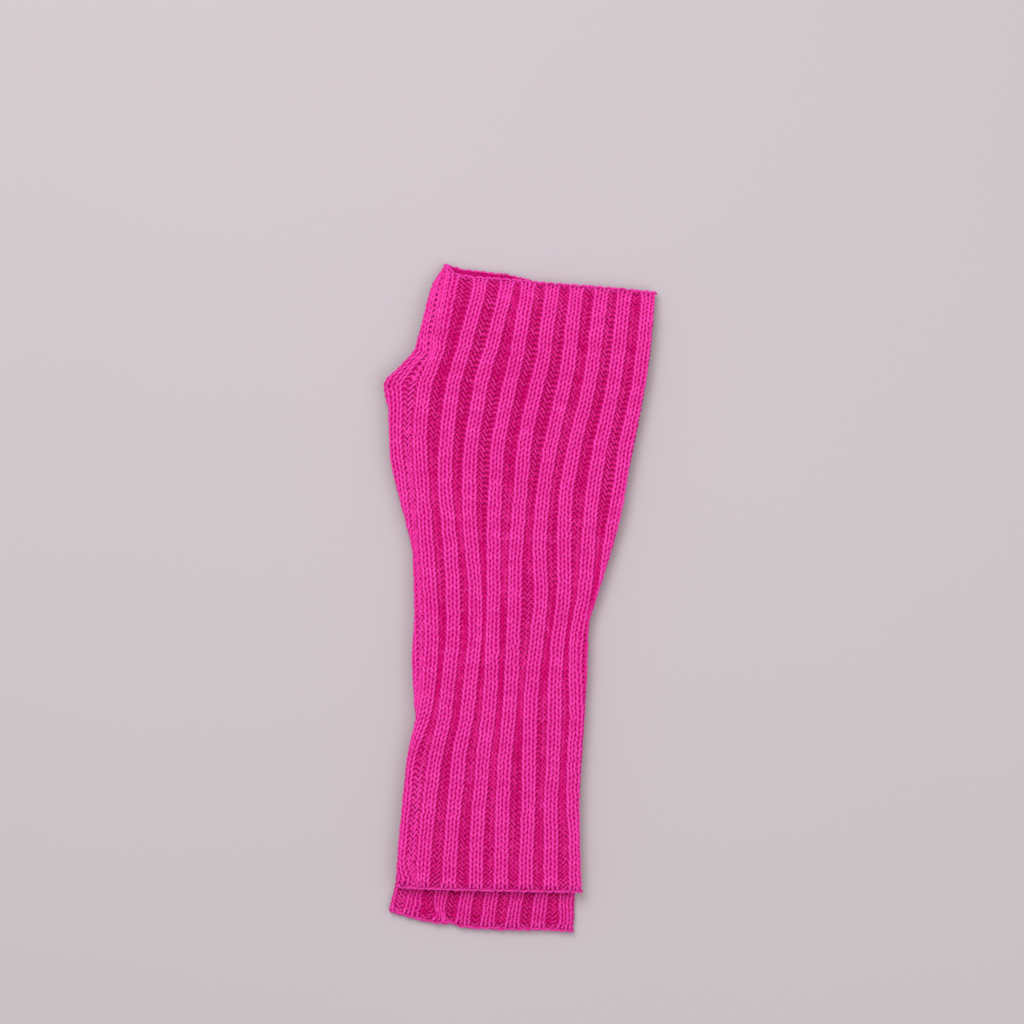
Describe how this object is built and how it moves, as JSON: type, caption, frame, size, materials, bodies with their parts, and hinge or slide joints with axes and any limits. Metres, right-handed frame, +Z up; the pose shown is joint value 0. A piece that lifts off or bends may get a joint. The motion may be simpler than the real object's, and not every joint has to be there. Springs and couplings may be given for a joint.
{
  "type": "pair of knitted arm warmers",
  "caption": "Ribbed knit fingerless arm warmers laid flat, one on the other, each a tapered tube open at both ends with a thumb opening in its side seam.",
  "frame": {"origin": "centre of the pair's bounding box, on the surface that it lies on", "axes": "+Y along the arms towards the finger ends, +X away from the thumb openings, +Z up from the surface"},
  "size_m": [0.1468, 0.3626, 0.0113],
  "materials": {
    "rib_knit": "soft matt two-by-two rib in hot pink acrylic yarn",
    "band_knit": "soft matt knitted edge in hot pink acrylic yarn",
    "lip_knit": "soft matt rolled knit selvedge in hot pink acrylic yarn"
  },
  "bodies": {
    "root": {"upper_front": "rib_knit", "upper_back": "rib_knit", "upper_finger_edge": "band_knit", "upper_arm_edge": "band_knit", "upper_thumb_edge": "lip_knit", "lower_front": "rib_knit", "lower_back": "rib_knit", "lower_finger_edge": "band_knit", "lower_arm_edge": "band_knit", "lower_thumb_edge": "lip_knit"}
  },
  "joints": []
}
